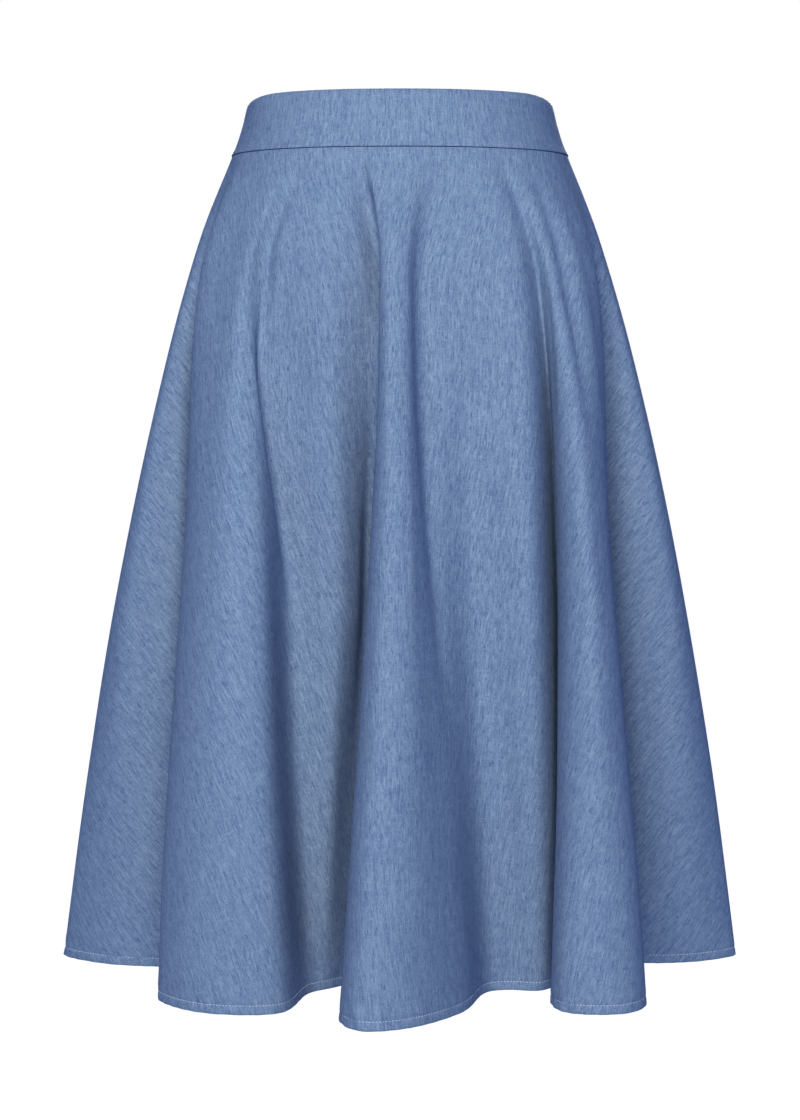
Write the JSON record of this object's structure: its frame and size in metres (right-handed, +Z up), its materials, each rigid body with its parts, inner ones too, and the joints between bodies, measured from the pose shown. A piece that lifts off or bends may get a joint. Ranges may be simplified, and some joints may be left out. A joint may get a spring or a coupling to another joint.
{
  "type": "a-line skirt",
  "caption": "Flared knee-length skirt in light denim with a wide plain waistband, hanging filled out in soft folds, with a concealed back zip and a swinging pull tab.",
  "frame": {"origin": "centre of the waist, halfway up the waistband, where the wearer's waist holds the skirt", "axes": "+Z up the body, -Y to the front of the skirt, +X to the wearer's left"},
  "size_m": [0.5499, 0.4506, 0.688],
  "materials": {
    "denim": "matte light blue denim weave",
    "denim_band": "matte light blue denim weave, double layer",
    "zip_tape": "matte blue woven tape",
    "zip_metal": "satin blue enamel"
  },
  "bodies": {
    "skirt": {"skirt_front": "denim", "skirt_back_left": "denim", "skirt_back_right": "denim", "waistband_front": "denim_band", "waistband_back_left": "denim_band", "waistband_back_right": "denim_band", "zip_tape": "zip_tape", "zip_slider": "zip_metal"},
    "pull": {"zip_pull": "zip_metal"}
  },
  "joints": [
    {"name": "pull_swing", "type": "hinge", "parent": "skirt", "child": "pull", "pos_m": [0, 0.09604, 0.01592], "axis": [1, 0, 0], "range_deg": [0, 170]}
  ]
}
